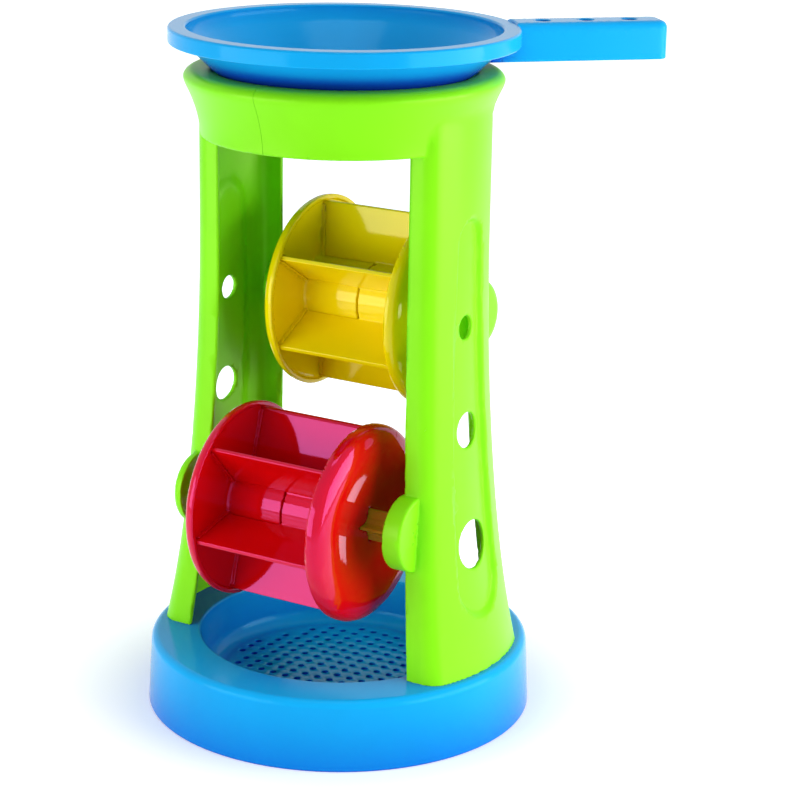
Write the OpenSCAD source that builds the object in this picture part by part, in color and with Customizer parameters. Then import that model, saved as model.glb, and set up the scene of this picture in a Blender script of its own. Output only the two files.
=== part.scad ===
// Double sand wheel toy. A sieve dish carries a two-column frame, two bucket wheels
// spin one above the other on fluted axles, and a pan with a handle feeds them.
// Millimetres, Z up. The origin is on the ground under the middle of the dish.
// X runs along both axles and -Y is the front.

/* [Base dish] */
// Width of the step between the foot of a column and the edge of the deck
deck_margin = 5; // [4.4:0.1:7]
// How far the skirt spreads from its top edge to the ground
base_draft = 1.8; // [1:0.1:3]
// Height of the deck that the columns stand on
base_h = 34.7; // [32:0.1:40]
// Wall thickness of the dish
base_wall = 2.6; // [2:0.1:3]
// Rounding of the top outer edge
base_edge_r = 4; // [3.2:0.1:5]
// Width of the deck round the bowl
deck_w = 23.9; // [22:0.1:27]
// How far the bowl's wall leans in from its mouth to its foot
bowl_draft = 3.3; // [2:0.1:4]
// Rounding between the bowl wall and the sieve floor
bowl_fillet = 8; // [4:0.5:9]
// Height of the sieve floor's upper face
sieve_z = 12; // [11:0.1:15]
// Diameter of one sieve hole
sieve_hole_d = 3.2; // [2:0.1:3.8]
// Distance from one sieve hole to the next
sieve_pitch = 7.2; // [6:0.1:9]

/* [Frame columns] */
// Outer radius of the columns at the top, about the middle of the toy
column_r = 70.85; // [70:0.05:72]
// How far a column's skin flares out from its top to its foot
foot_flare = 17.35; // [15:0.05:19]
// Height at which the outer flare begins
column_flare_z = 242; // [225:1:250]
// Half the width of a column at the top
column_half_w = 28.3; // [27:0.1:30]
// Half the width of a column at the foot
column_foot_half_w = 39.9; // [38:0.1:42]
// How far a column reaches inward from its skin at the top
column_depth = 17.75; // [16.5:0.05:19]
// How far a column's inner edge flares out from its top to its foot
edge_flare = 10; // [8.5:0.1:11.5]
// Height at which the inner edge starts to flare
edge_flare_z = 214; // [200:1:240]
// Wall thickness of the columns
column_wall = 2.4; // [2:0.1:2.8]
// Cut across each outer corner of a column
corner_cut = 2.2; // [1:0.1:3]
// Depth of the long recess in the outer face
recess_depth = 2.8; // [2:0.1:3.2]
// Half the width of the recess at its top arc
recess_top_r = 9.4; // [9:0.1:10]
// Half the width of the recess at its bottom arc
recess_foot_r = 17; // [16:0.1:18]
// Drop from the collar's lower edge to the centre of the recess's top arc
recess_top_drop = 42; // [38:0.5:46]
// Rise from the deck to the centre of the recess's bottom arc
recess_foot_rise = 42.3; // [39:0.1:46]
// Diameters of the three holes in a column, top to bottom
window_ds = [12, 17.8, 23.4];
// Heights of the three holes, top to bottom
window_zs = [200, 150, 94];
// Length of the tabs under a column that plug into the deck
tab_drop = 7; // [5:0.5:9]
// Width of one tab
tab_w = 10; // [8:0.5:12]
// Thickness of one tab
tab_t = 1.7; // [1.2:0.1:1.9]

/* [Collar] */
// Gap between the upper wheel and the collar's lower edge
head_room = 39.65; // [36:0.05:44]
// Height of the collar
collar_h = 31; // [29:0.5:34]
// How far the collar's lower edge lies inside the columns' skin
collar_inset = 3.35; // [2.8:0.05:4.4]
// How far the collar flares out from its lower edge to its shoulder
collar_flare = 7.8; // [6.5:0.1:9.5]
// Width of the collar's top, from its side to the pan's cone
collar_deck_w = 13; // [11.5:0.1:15]
// Rounding of the shoulder
shoulder_r = 5; // [4:0.1:6]
// Wall thickness of the collar
collar_wall = 2.4; // [2:0.1:2.8]
// Radius of the pegs that join the two halves of the frame
peg_r = 2; // [1.5:0.1:2.4]
// Length of the pegs
peg_len = 5; // [3:0.5:6]

/* [Pan] */
// How far the pan's rim stands out past the collar
pan_overhang = 7; // [6:0.1:9]
// Height of the rim above the throat where the cone begins
rim_h = 5.2; // [4.6:0.1:6]
// Height of the skirt that hangs from the rim
pan_skirt_h = 7.5; // [6:0.1:8.5]
// Width of the flat ring on top of the rim
pan_ring_w = 8.6; // [7.5:0.1:9.5]
// Wall thickness of the pan
pan_wall = 2.4; // [2:0.1:2.8]
// Depth of the pan below the collar's top
pan_drop = 29; // [26:0.5:32]
// Radius of the pan's floor
pan_floor_r = 30; // [26:0.5:31]
// Radius of the outlet that the sand runs through
outlet_r = 7; // [5:0.5:9]
// Length of the spout below the floor
spout_len = 9; // [6:0.5:12]

/* [Handle] */
// Direction that the handle points in
handle_turn = 44.5; // [0:0.5:90]
// Length of the handle past the rim
handle_len = 73.4; // [66:0.1:88]
// Width of the handle
handle_w = 20; // [18:0.5:24]
// Gap between the handle and the collar's top
handle_gap = 2.4; // [1.6:0.1:6]
// Height of the handle's top above the rim
handle_rise = 1; // [0:0.1:1.5]
// Rounding of the handle's end corners
handle_corner_r = 5; // [3:0.5:7]
// Radius of the holes in the handle's top
handle_hole_r = 3.5; // [2.5:0.1:4]
// Distance from the handle's end to the last hole
last_hole_inset = 17.1; // [14:0.1:22]
// Distance between the holes
handle_hole_pitch = 21.5; // [18:0.5:23]
// Number of holes
handle_holes = 3; // [1:1:3]

/* [Wheels] */
// Outer radius of a wheel
wheel_r = 47.75; // [46:0.25:48.5]
// Distance from the middle of a wheel to its flange's inner face
flange_x = 34; // [32.5:0.1:34.6]
// Height of the flange's crown above its inner face
crown_h = 4.3; // [3.9:0.1:5.2]
// How far the lip of the left-hand rim stands in from the flange's inner face
lip_h = 1.5; // [1:0.1:3]
// How far the lip of the right-hand rim stands in from the flange's inner face
right_lip_h = 3.4; // [1:0.1:4]
// Thickness of the rim
rim_wall = 2.5; // [2:0.1:3]
// Rounding of the rim's outer edge
rim_edge_r = 4; // [3:0.1:4.2]
// Height of the dished face round the axle above the flange's inner face
dish_h = 2.5; // [1.8:0.1:3.4]
// Radius of the wheel's hub
hub_r = 17.5; // [16:0.1:18.5]
// Wall thickness of the hub
hub_wall = 2.4; // [2:0.1:2.6]
// Rounding between the hub and a flange
hub_fillet = 2; // [1:0.1:4]
// How far the boss round the axle reaches in from the flange's inner face
boss_h = 14.7; // [10:0.1:16]
// Place of the split line between the halves of a wheel
split_x = -2.8; // [-4:0.1:4]
// Width of the gap at the split
split_gap = 1.4; // [0.8:0.1:2]
// Number of blades in a wheel
blades = 6; // [4:1:8]
// Thickness of a blade
blade_t = 2.2; // [1.6:0.1:2.6]
// Height of the guide ribs that hold the blades
guide_h = 1.95; // [1.55:0.1:2.45]
// Thickness of a guide rib
guide_t = 1; // [0.8:0.1:1.4]
// Turn of the lower wheel about its axle
lower_turn = -17; // [-30:0.5:30]
// Turn of the upper wheel about its axle
upper_turn = -1.5; // [-30:0.5:30]
// Place of the lower axle, front to back
lower_y = -31.2; // [-33:0.1:-30]
// Gap between the deck and the lower wheel
floor_gap = 23.25; // [20:0.05:27]
// Place of the upper axle, front to back
upper_y = 34.9; // [33:0.1:36]
// How far the two wheels overlap in height
wheel_nest = 4.6; // [2:0.1:8]

/* [Axles and bearings] */
// Radius of the axle's ridges
axle_r = 7.8; // [7:0.1:8]
// Radius of the flutes between the ridges
flute_r = 5.8; // [5:0.1:6]
// Distance from the axle's middle to the middle of a flute
flute_reach = 9.3; // [9:0.1:9.6]
// Radius of the round journals at the axle's ends
journal_r = 4; // [3:0.1:4.5]
// Length of a journal
journal_len = 6.5; // [5:0.1:7]
// Radius of the bearing cups on the columns
cup_r = 18.2; // [16.4:0.1:18.6]
// Wall thickness of the bearing cups
cup_wall = 2; // [1.6:0.1:2.4]
// Share of a cup's depth that the rounding of its closed end takes
cup_round_share = 0.65; // [0.6:0.01:0.68]
// How far the lower cups reach past the columns' inner edge
lower_cup_sink = 8.25; // [6:0.05:9]
// How far the upper cups reach past the columns' inner edge
upper_cup_sink = 5.8; // [4:0.05:6.6]
// Depth of the right-hand cups
right_cup_depth = 11; // [8:0.1:12]
// Depth of the left-hand cups
left_cup_depth = 4.5; // [4.2:0.1:8]
// Wall thickness of the bearing sleeves in the cups
sleeve_wall = 2.4; // [2:0.1:3]

/* [Fits] */
// Radial clearance of a journal in its sleeve
journal_clear = 0.08; // [0.04:0.01:0.1]
// End float of an axle at each end
end_float = 0.5; // [0.3:0.1:0.8]
// Clearance of the fluted axle in the hub
flute_clear = 0.1; // [0.05:0.01:0.2]
// Clearance between the pan's cone and its seat
seat_clear = 0.3; // [0.2:0.05:0.5]
// Clearance round the tabs, pegs and blades that plug in
plug_clear = 0.15; // [0.1:0.01:0.25]
// Gap at the seam between the halves of the frame
seam_gap = 0.2; // [0.1:0.05:0.4]

/* [Hidden] */
$fn = 96;
// One overrun serves every cut
over = 1;
arc_steps = 8;
round_steps = 11;
side_steps = 9;
edge_steps = 7;
corner_steps = 8;
// Share of the outer flare that grows slowly, and the rest that grows at the foot
slow_share = 0.82;
// Power of the collar's outward curve
collar_power = 1.8;
// Direction that the corner cuts of a column face
corner_turn = 57;

// Radii of the frame, each from the columns' radius
column_foot_r = column_r + foot_flare;
column_edge_x = column_r - column_depth;
column_foot_edge_x = column_edge_x + edge_flare;
collar_foot_r = column_r - collar_inset;
collar_r = collar_foot_r + collar_flare;

// Radii of the dish, each from the foot of the columns
base_top_r = column_foot_r + deck_margin;
base_r = base_top_r + base_draft;
bowl_mouth_r = base_top_r - deck_w;
bowl_foot_r = bowl_mouth_r - bowl_draft;

// Heights from the deck up, past both wheels to the collar
lower_z = base_h + floor_gap + wheel_r;
upper_z = lower_z + 2 * wheel_r - wheel_nest;
collar_z = upper_z + wheel_r + head_room;
collar_top_z = collar_z + collar_h;
recess_foot_z = base_h + recess_foot_rise;
recess_top_z = collar_z - recess_top_drop;

// Places along the axles
crown_x = flange_x + crown_h;
dish_x = flange_x + dish_h;
lower_cap_x = edge_x(lower_z) + lower_cup_sink;
upper_cap_x = edge_x(upper_z) + upper_cup_sink;

sieve_floor_t = base_wall;
bowl_floor_r = bowl_foot_r - bowl_fillet;
sieve_edge_r = bowl_floor_r - sieve_hole_d;
sieve_rows = ceil(sieve_edge_r / sieve_pitch);

// The columns end inside the collar, under its deck
column_top_z = collar_top_z - shoulder_r - 2 * collar_wall;
tab_x = column_foot_edge_x + (tab_w + column_wall) / 2;

pan_r = collar_r + pan_overhang;
pan_seat_r = collar_r - collar_deck_w;
pan_floor_z = collar_top_z - pan_drop;
pan_throat_r = pan_r - pan_ring_w;
cone_run = (pan_seat_r - pan_floor_r - pan_wall) / (collar_top_z - pan_floor_z);
cone_tilt = atan(cone_run);
cone_wall_r = pan_wall / cos(cone_tilt);
seat_r = pan_seat_r + seat_clear / cos(cone_tilt);
// Height of the throat, where the ring on the rim turns down into the cone
throat_z = collar_top_z + (pan_throat_r + cone_wall_r - pan_seat_r) / cone_run;
pan_top_z = throat_z + rim_h;
pan_skirt_z = pan_top_z - pan_skirt_h;

peg_block = 4 * peg_r;
peg_y = collar_foot_r - collar_wall - peg_block / 2 + 1.2 * collar_wall;
peg_z = collar_z + peg_block;

handle_top_z = pan_top_z + handle_rise;
handle_h = handle_top_z - collar_top_z - handle_gap;
handle_reach = pan_r + handle_len;
last_hole_reach = handle_reach - last_hole_inset;
handle_root = pan_seat_r;

rim_inner_r = wheel_r - rim_wall;
blade_r = rim_inner_r - plug_clear;
dish_r = hub_r - hub_wall - hub_wall;
cavity_r = hub_r - hub_wall;
boss_r = axle_r + hub_wall;
boss_x = flange_x - boss_h;
spigot_r = cavity_r - plug_clear;
spigot_len = 2.5 * hub_wall;

// Points on an arc of radius r about [x, y] from angle a to angle b
function arc(x, y, r, a, b) = [for (i = [0 : arc_steps])
    let (t = a + (b - a) * i / arc_steps) [x + r * cos(t), y + r * sin(t)]];

// A size that grows from top to foot below the height flare_z
function flare(z, top, foot, flare_z, share) =
    let (t = max(0, flare_z - z) / (flare_z - base_h))
    top + (foot - top) * (share * pow(t, 2) + (1 - share) * pow(t, 6));

function outer_r(z) = flare(z, column_r, column_foot_r, column_flare_z, slow_share);
function half_w(z) = flare(z, column_half_w, column_foot_half_w, column_flare_z, 1);
function edge_x(z) = flare(z, column_edge_x, column_foot_edge_x, edge_flare_z, 1);

// Heights up a column in a number of steps, past both ends by an overrun
function heights(steps, run) = [for (i = [0 : steps])
    base_h - run + (column_top_z - base_h + 2 * run) * i / steps];

// Outer radius of the collar at a height below its shoulder
shoulder_z = collar_top_z - shoulder_r;
function collar_side_r(z) = collar_foot_r
    + (collar_r - collar_foot_r) * pow((z - collar_z) / (shoulder_z - collar_z), collar_power);
collar_heights = [for (i = [0 : arc_steps]) collar_z + (shoulder_z - collar_z) * i / arc_steps];

// Radius of the outside of the pan's cone at a height
function cone_r(z) = pan_seat_r + (z - collar_top_z) * cone_run;

// Smooth rise from 0 to 1
function ease(t) = t * t * (3 - 2 * t);

// A solid of revolution about X, from an outline of [radius, x] points
module turned(outline) {
    rotate([90, 0, 90])
        rotate_extrude()
            polygon(outline);
}

// Section of the dish: a skirt, a deck and a bowl in one wall
module dish_section() {
    edge_z = base_h - base_edge_r;
    skirt_r = base_top_r - base_wall;
    under_r = bowl_foot_r + base_wall;
    polygon(concat(
        [[base_r, 0], [base_top_r, edge_z]],
        arc(base_top_r - base_edge_r, edge_z, base_edge_r, 0, 90),
        [[bowl_mouth_r, base_h], [bowl_foot_r, sieve_z + bowl_fillet]],
        arc(bowl_floor_r, sieve_z + bowl_fillet, bowl_fillet, 0, -90),
        [[0, sieve_z], [0, sieve_z - sieve_floor_t]],
        arc(bowl_floor_r, sieve_z + bowl_fillet, bowl_fillet + base_wall, -90, 0),
        [[under_r, sieve_z + bowl_fillet], [bowl_mouth_r + base_wall, base_h - base_wall]],
        arc(base_top_r - base_edge_r, edge_z, base_edge_r - base_wall, 90, 0),
        [[skirt_r, edge_z], [base_r - base_wall, 0]]
    ));
}

// Plan of the three tabs under one column: one in the skin and one in each side wall
module tab_plan(grow) {
    skin_x = column_foot_r - column_wall + tab_t / 2;
    side_y = column_foot_half_w - column_wall / 2;
    translate([skin_x, 0])
        square([tab_t + 2 * grow, tab_w + 2 * grow], center = true);
    for (side = [-1, 1])
        translate([tab_x, side * side_y])
            square([tab_w + 2 * grow, tab_t + 2 * grow], center = true);
}

// Sieve holes on a square grid, kept inside the flat of the floor
module sieve_holes() {
    for (row = [-sieve_rows : sieve_rows])
        for (col = [-sieve_rows : sieve_rows]) {
            x = (col + 1 / 2) * sieve_pitch;
            y = row * sieve_pitch;
            if (norm([x, y]) < sieve_edge_r)
                translate([x, y, sieve_z - sieve_floor_t - over])
                    cylinder(d = sieve_hole_d, h = sieve_floor_t + 2 * over, $fn = 24);
        }
}

module base() {
    color("dodgerblue")
        difference() {
            rotate_extrude()
                dish_section();
            sieve_holes();
            for (turn = [0, 180])
                rotate([0, 0, turn])
                    translate([0, 0, base_h - base_wall - over])
                        linear_extrude(height = base_wall + 2 * over)
                            tab_plan(plug_clear);
        }
}

// Round body of both columns, drawn in from the skin by an inset
module column_round(inset, run = over) {
    rotate_extrude()
        polygon(concat(
            [[0, base_h - run]],
            [for (z = heights(round_steps, run)) [outer_r(z) - inset, z]],
            [[0, column_top_z + run]]
        ));
}

// Block of the side walls, front to back, drawn in by an inset
module column_sides(inset) {
    rows = heights(side_steps, 2 * over);
    rotate([90, 0, 90])
        linear_extrude(height = column_foot_r + 2 * over)
            polygon(concat(
                [for (z = rows) [half_w(z) - inset, z]],
                [for (i = [side_steps : -1 : 0]) [-half_w(rows[i]) + inset, rows[i]]]
            ));
}

// Block outside the inner edges, as seen from the front
module column_front() {
    reach = column_foot_half_w + 2 * over;
    rows = heights(edge_steps, 3 * over);
    translate([0, reach, 0])
        rotate([90, 0, 0])
            linear_extrude(height = 2 * reach)
                polygon(concat(
                    [for (z = rows) [edge_x(z), z]],
                    [[column_foot_r + 3 * over, rows[edge_steps]], [column_foot_r + 3 * over, rows[0]]]
                ));
}

// Block that cuts both outer corners of a column
module column_corners() {
    reach = column_foot_r + 3 * over;
    rows = heights(corner_steps, 2.5 * over);
    for (side = [0, 1])
        mirror([0, side, 0])
            rotate([0, 0, corner_turn])
                translate([0, reach, 0])
                    rotate([90, 0, 0])
                        linear_extrude(height = 2 * reach)
                            polygon(concat(
                                [for (z = rows) [corner_reach(z), z]],
                                [[reach, rows[corner_steps]], [reach, rows[0]]]
                            ));
}

// Distance of the corner cut from the middle, square to the cut
function corner_reach(z) =
    let (w = half_w(z), x = sqrt(pow(outer_r(z), 2) - pow(w, 2)))
    x * cos(corner_turn) + w * sin(corner_turn) - corner_cut;

// Outline of the recess seen from the side: two arcs and the straight edges between
module recess_plan(grow) {
    tilt = asin((recess_foot_r - recess_top_r) / (recess_top_z - recess_foot_z));
    top = recess_top_r + grow;
    foot = recess_foot_r + grow;
    polygon(concat(
        arc(0, recess_top_z, top, tilt, 180 - tilt),
        arc(0, recess_foot_z, foot, 180 - tilt, 360 + tilt)
    ));
}

// A plan drawn in Y and Z, carried outward along X
module outward() {
    rotate([90, 0, 90])
        linear_extrude(height = column_foot_r + over)
            children();
}

// One column as a channel that opens toward the wheels, with its recess and holes
module column() {
    difference() {
        intersection() {
            column_round(0, 0);
            column_sides(0);
            column_front();
        }
        column_corners();
        difference() {
            intersection() {
                column_round(column_wall);
                column_sides(column_wall);
            }
            difference() {
                outward()
                    recess_plan(column_wall);
                column_round(recess_depth + column_wall, 2 * over);
            }
        }
        difference() {
            outward()
                recess_plan(0);
            column_round(recess_depth);
        }
        outward()
            for (i = [0 : len(window_ds) - 1])
                translate([0, window_zs[i]])
                    circle(d = window_ds[i]);
    }
}

// Tabs under one column
module column_tabs() {
    translate([0, 0, base_h - tab_drop])
        linear_extrude(height = tab_drop + column_wall / 2)
            tab_plan(0);
}

// Section of the collar: a flared side, a round shoulder and a flat top with a conical seat
module collar_section() {
    deck_z = collar_top_z - collar_wall;
    polygon(concat(
        [for (z = collar_heights) [collar_side_r(z), z]],
        arc(collar_r - shoulder_r, shoulder_z, shoulder_r, 0, 90),
        [[seat_r, collar_top_z], [seat_r - collar_wall * cone_run, deck_z]],
        arc(collar_r - shoulder_r, shoulder_z, shoulder_r - collar_wall, 90, 0),
        [for (i = [arc_steps : -1 : 0]) [collar_side_r(collar_heights[i]) - collar_wall, collar_heights[i]]]
    ));
}

// Everything inside the middle of the collar's wall
module collar_fill() {
    rotate_extrude()
        polygon(concat(
            [[0, collar_z]],
            [for (z = collar_heights) [collar_side_r(z) - collar_wall / 2, z]],
            [[0, shoulder_z]]
        ));
}

// Block on the collar's inside that holds a peg or its socket
module peg_blocks() {
    for (side = [-1, 1])
        translate([0, side * peg_y - peg_block / 2, peg_z - peg_block / 2])
            cube([2 * peg_block, peg_block, peg_block]);
}

// Pegs or sockets across the seam
module pegs(r, length) {
    for (side = [-1, 1])
        translate([0, side * peg_y, peg_z])
            rotate([0, 90, 0])
                cylinder(r = r, h = length);
}

// Outline of a cup's rounded closed end, drawn in by an inset, from its rim to its middle or back
function cup_arc(cap_x, depth, inset, a, b) =
    let (round_r = cup_round_share * depth)
    arc(cup_r - round_r, cap_x - round_r, round_r - inset, a, b);

// A bearing cup with its mouth toward the wheel and a sleeve for the journal
module cup(cap_x, depth) {
    floor_x = cap_x - cup_wall;
    bore_r = journal_r + journal_clear;
    turned(concat(
        [[0, cap_x]],
        cup_arc(cap_x, depth, 0, 90, 0),
        [[cup_r, cap_x - depth], [cup_r - cup_wall, cap_x - depth]],
        cup_arc(cap_x, depth, cup_wall, 0, 90),
        [[bore_r + sleeve_wall, floor_x], [bore_r + sleeve_wall, floor_x - journal_len],
            [bore_r, floor_x - journal_len], [bore_r, floor_x], [0, floor_x]]
    ));
}

// Space inside a cup and in front of it, to the middle of the cup's walls
module cup_space(cap_x, depth) {
    turned(concat(
        [[0, 0], [cup_r - cup_wall / 2, 0]],
        cup_arc(cap_x, depth, cup_wall / 2, 0, 90),
        [[0, cap_x - cup_wall / 2]]
    ));
}

// One half of the frame, drawn as the right-hand one: a column, its cups and half the collar
module frame_half(cup_depth) {
    difference() {
        union() {
            column();
            column_tabs();
            rotate([0, 0, -90])
                rotate_extrude(angle = 180)
                    collar_section();
            intersection() {
                peg_blocks();
                collar_fill();
            }
        }
        translate([0, lower_y, lower_z])
            cup_space(lower_cap_x, cup_depth);
        translate([0, upper_y, upper_z])
            cup_space(upper_cap_x, cup_depth);
        translate([-over, -pan_r, 0])
            cube([over + seam_gap / 2, 2 * pan_r, collar_top_z + over]);
    }
    translate([0, lower_y, lower_z])
        cup(lower_cap_x, cup_depth);
    translate([0, upper_y, upper_z])
        cup(upper_cap_x, cup_depth);
}

module frame_right() {
    color("yellowgreen") {
        frame_half(right_cup_depth);
        translate([-peg_len, 0, 0])
            pegs(peg_r, 2 * peg_len);
    }
}

module frame_left() {
    color("yellowgreen")
        difference() {
            mirror([1, 0, 0])
                frame_half(left_cup_depth);
            translate([-peg_len - over, 0, 0])
                pegs(peg_r + plug_clear, peg_len + 2 * over);
        }
}

// Section of the pan: ring, skirt, cone, floor and spout
module pan_section() {
    ring_z = pan_top_z - pan_wall;
    spout_r = outlet_r + pan_wall;
    inner_floor_z = pan_floor_z + pan_wall;
    polygon([
        [pan_r, pan_skirt_z], [pan_r, pan_top_z - pan_wall / 3], [pan_r - pan_wall / 3, pan_top_z],
        [pan_throat_r, pan_top_z - pan_wall / 3], [pan_throat_r, throat_z],
        [cone_r(inner_floor_z) - cone_wall_r, inner_floor_z], [outlet_r, inner_floor_z],
        [outlet_r, pan_floor_z - spout_len], [spout_r, pan_floor_z - spout_len],
        [spout_r, pan_floor_z], [cone_r(pan_floor_z), pan_floor_z],
        [cone_r(ring_z - pan_skirt_h / 3), ring_z - pan_skirt_h / 3], [pan_r - pan_wall, ring_z],
        [pan_r - pan_wall, pan_skirt_z]
    ]);
}

// Space above the pan's inner faces
module pan_space() {
    inner_floor_z = pan_floor_z + pan_wall;
    rotate_extrude()
        polygon([
            [0, inner_floor_z], [cone_r(inner_floor_z) - cone_wall_r, inner_floor_z], [pan_throat_r, throat_z],
            [pan_throat_r, pan_top_z - pan_wall / 3], [pan_r - pan_wall / 3, pan_top_z],
            [pan_r - pan_wall / 3, handle_top_z + over], [0, handle_top_z + over]
        ]);
}

// Plan of the handle from the cone to its rounded end, drawn in by an inset
module handle_plan(inset) {
    half = handle_w / 2 - inset;
    corner = max(handle_corner_r - inset, 0.2 * handle_corner_r);
    end = handle_reach - inset;
    polygon(concat(
        [[handle_root, -half]],
        arc(end - corner, -half + corner, corner, -90, 0),
        arc(end - corner, half - corner, corner, 0, 90),
        [[handle_root, half]]
    ));
}

// The handle: a channel open underneath, with holes in its top
module handle() {
    rotate([0, 0, handle_turn])
        difference() {
            translate([0, 0, handle_top_z - handle_h])
                linear_extrude(height = handle_h)
                    handle_plan(0);
            translate([0, 0, handle_top_z - handle_h - over])
                linear_extrude(height = handle_h + over - pan_wall)
                    handle_plan(pan_wall);
            for (i = [0 : handle_holes - 1])
                translate([last_hole_reach - i * handle_hole_pitch, 0, handle_top_z - pan_wall - over])
                    cylinder(r = handle_hole_r, h = pan_wall + 2 * over);
        }
}

module pan() {
    color("deepskyblue") {
        rotate_extrude()
            pan_section();
        difference() {
            handle();
            pan_space();
        }
    }
}

// Outline of half a wheel from the split at split_at out to its flange and a lip that high, as [radius, x]
function wheel_outline(split_at, lip) = concat(
    [[0, dish_x]],
    [for (i = [0 : arc_steps]) let (t = i / arc_steps)
        [dish_r + (wheel_r - rim_edge_r - dish_r) * t, dish_x + (crown_x - dish_x) * ease(t)]],
    arc(wheel_r - rim_edge_r, crown_x - rim_edge_r, rim_edge_r, 90, 0),
    [[wheel_r, flange_x - lip], [rim_inner_r, flange_x - lip]],
    [[rim_inner_r, flange_x - lip_h / 2], [rim_inner_r - lip_h / 2, flange_x]],
    arc(hub_r + hub_fillet, flange_x - hub_fillet, hub_fillet, 90, 180),
    [[hub_r, split_at], [cavity_r, split_at], [cavity_r, dish_x - 2 * hub_wall]],
    [[boss_r, dish_x - 2 * hub_wall], [boss_r, boss_x], [0, boss_x]]
);

// Section of the fluted axle: a round bar with four round flutes
module fluted_plan(grow) {
    difference() {
        circle(r = axle_r + grow);
        for (turn = [45 : 90 : 315])
            rotate(turn)
                translate([flute_reach, 0])
                    circle(r = flute_r - grow);
    }
}

// Bore of the hub, cut to the axle's section
module flute_bore() {
    translate([-crown_x - over, 0, 0])
        rotate([90, 0, 90])
            linear_extrude(height = 2 * (crown_x + over))
                fluted_plan(flute_clear);
}

// One blade across the wheel, clear of the left-hand half, which it plugs into
module blade() {
    left_x = -flange_x + plug_clear;
    root_x = split_x + (split_gap + hub_wall) / 2;
    end_x = flange_x + rim_wall / 4;
    translate([0, 0, -blade_t / 2])
        linear_extrude(height = blade_t)
            polygon(concat(
                [[end_x, blade_r], [left_x + lip_h, blade_r], [left_x, blade_r - lip_h]],
                arc(hub_fillet - flange_x, hub_r + hub_fillet, hub_fillet - plug_clear, 180, 270),
                [[root_x, hub_r + plug_clear], [root_x, hub_r - hub_wall / 2], [end_x, hub_r - hub_wall / 2]]
            ));
}

// The guide ribs on the left-hand flange that hold one blade between them
module guides() {
    start_r = hub_r - hub_wall / 2;
    root_h = rim_wall / 4;
    for (side = [-1, 1])
        translate([-flange_x - root_h, start_r, side * (blade_t + guide_t + 2 * plug_clear) / 2 - guide_t / 2])
            cube([guide_h + root_h, rim_inner_r - lip_h - start_r, guide_t]);
}

// Half of a wheel that carries the blades. Its bore stays in line with the axle's ridges
module wheel_right(turn) {
    rotate([turn, 0, 0]) {
        difference() {
            turned(wheel_outline(split_x + split_gap / 2, right_lip_h));
            rotate([-turn, 0, 0])
                flute_bore();
        }
        for (i = [0.5 : blades])
            rotate([360 * i / blades, 0, 0])
                blade();
    }
}

// Half of a wheel with the guide ribs and the spigot that centres the other half
module wheel_left(turn) {
    rotate([turn, 0, 0])
        difference() {
            mirror([1, 0, 0])
                turned(wheel_outline(split_gap / 2 - split_x, lip_h));
            rotate([-turn, 0, 0])
                flute_bore();
        }
    step_x = split_x - (split_gap + hub_wall) / 2;
    turned([[cavity_r + hub_wall / 2, split_x - spigot_len], [cavity_r + hub_wall / 2, step_x],
        [spigot_r, step_x], [spigot_r, split_x + spigot_len],
        [spigot_r - hub_wall, split_x + spigot_len], [spigot_r - hub_wall, split_x - spigot_len]]);
    for (i = [0.5 : blades])
        rotate([turn + 360 * i / blades, 0, 0])
            guides();
}

// A fluted axle with a round journal at each end
module axle(cap_x) {
    half = cap_x - cup_wall - end_float;
    shoulder = half - journal_len;
    translate([-shoulder, 0, 0])
        rotate([90, 0, 90])
            linear_extrude(height = 2 * shoulder)
                fluted_plan(0);
    for (side = [0, 1])
        mirror([side, 0, 0])
            translate([shoulder - over, 0, 0])
                rotate([0, 90, 0])
                    cylinder(r = journal_r, h = journal_len + over);
}

module lower_wheel_left() {
    color("red")
        translate([0, lower_y, lower_z])
            wheel_left(lower_turn);
}

module lower_wheel_right() {
    color("red")
        translate([0, lower_y, lower_z])
            wheel_right(lower_turn);
}

module lower_axle() {
    color("gold")
        translate([0, lower_y, lower_z])
            axle(lower_cap_x);
}

module upper_wheel_left() {
    color("yellow")
        translate([0, upper_y, upper_z])
            wheel_left(upper_turn);
}

module upper_wheel_right() {
    color("yellow")
        translate([0, upper_y, upper_z])
            wheel_right(upper_turn);
}

module upper_axle() {
    color("gold")
        translate([0, upper_y, upper_z])
            axle(upper_cap_x);
}

base();
frame_left();
frame_right();
pan();
lower_wheel_left();
lower_wheel_right();
lower_axle();
upper_wheel_left();
upper_wheel_right();
upper_axle();
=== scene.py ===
import math

import bmesh
import bpy
import numpy as np
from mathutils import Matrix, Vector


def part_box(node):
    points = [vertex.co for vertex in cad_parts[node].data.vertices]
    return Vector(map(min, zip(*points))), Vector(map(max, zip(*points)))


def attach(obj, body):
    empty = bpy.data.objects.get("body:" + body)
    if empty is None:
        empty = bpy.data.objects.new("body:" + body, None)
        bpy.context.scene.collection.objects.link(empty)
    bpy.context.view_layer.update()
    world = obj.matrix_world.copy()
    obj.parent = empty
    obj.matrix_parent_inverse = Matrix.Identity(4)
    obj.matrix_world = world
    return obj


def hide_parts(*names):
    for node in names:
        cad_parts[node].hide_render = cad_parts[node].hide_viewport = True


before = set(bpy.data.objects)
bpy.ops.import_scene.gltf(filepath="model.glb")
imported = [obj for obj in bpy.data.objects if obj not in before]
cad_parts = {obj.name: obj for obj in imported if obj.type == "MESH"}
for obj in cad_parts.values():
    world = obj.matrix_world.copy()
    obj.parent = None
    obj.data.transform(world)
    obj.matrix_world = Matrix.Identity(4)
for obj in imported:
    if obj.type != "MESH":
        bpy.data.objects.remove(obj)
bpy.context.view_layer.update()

import openvdb
from bpy.props import FloatProperty, FloatVectorProperty, PointerProperty
from mathutils import Matrix, Vector
from mathutils.geometry import delaunay_2d_cdt

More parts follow.
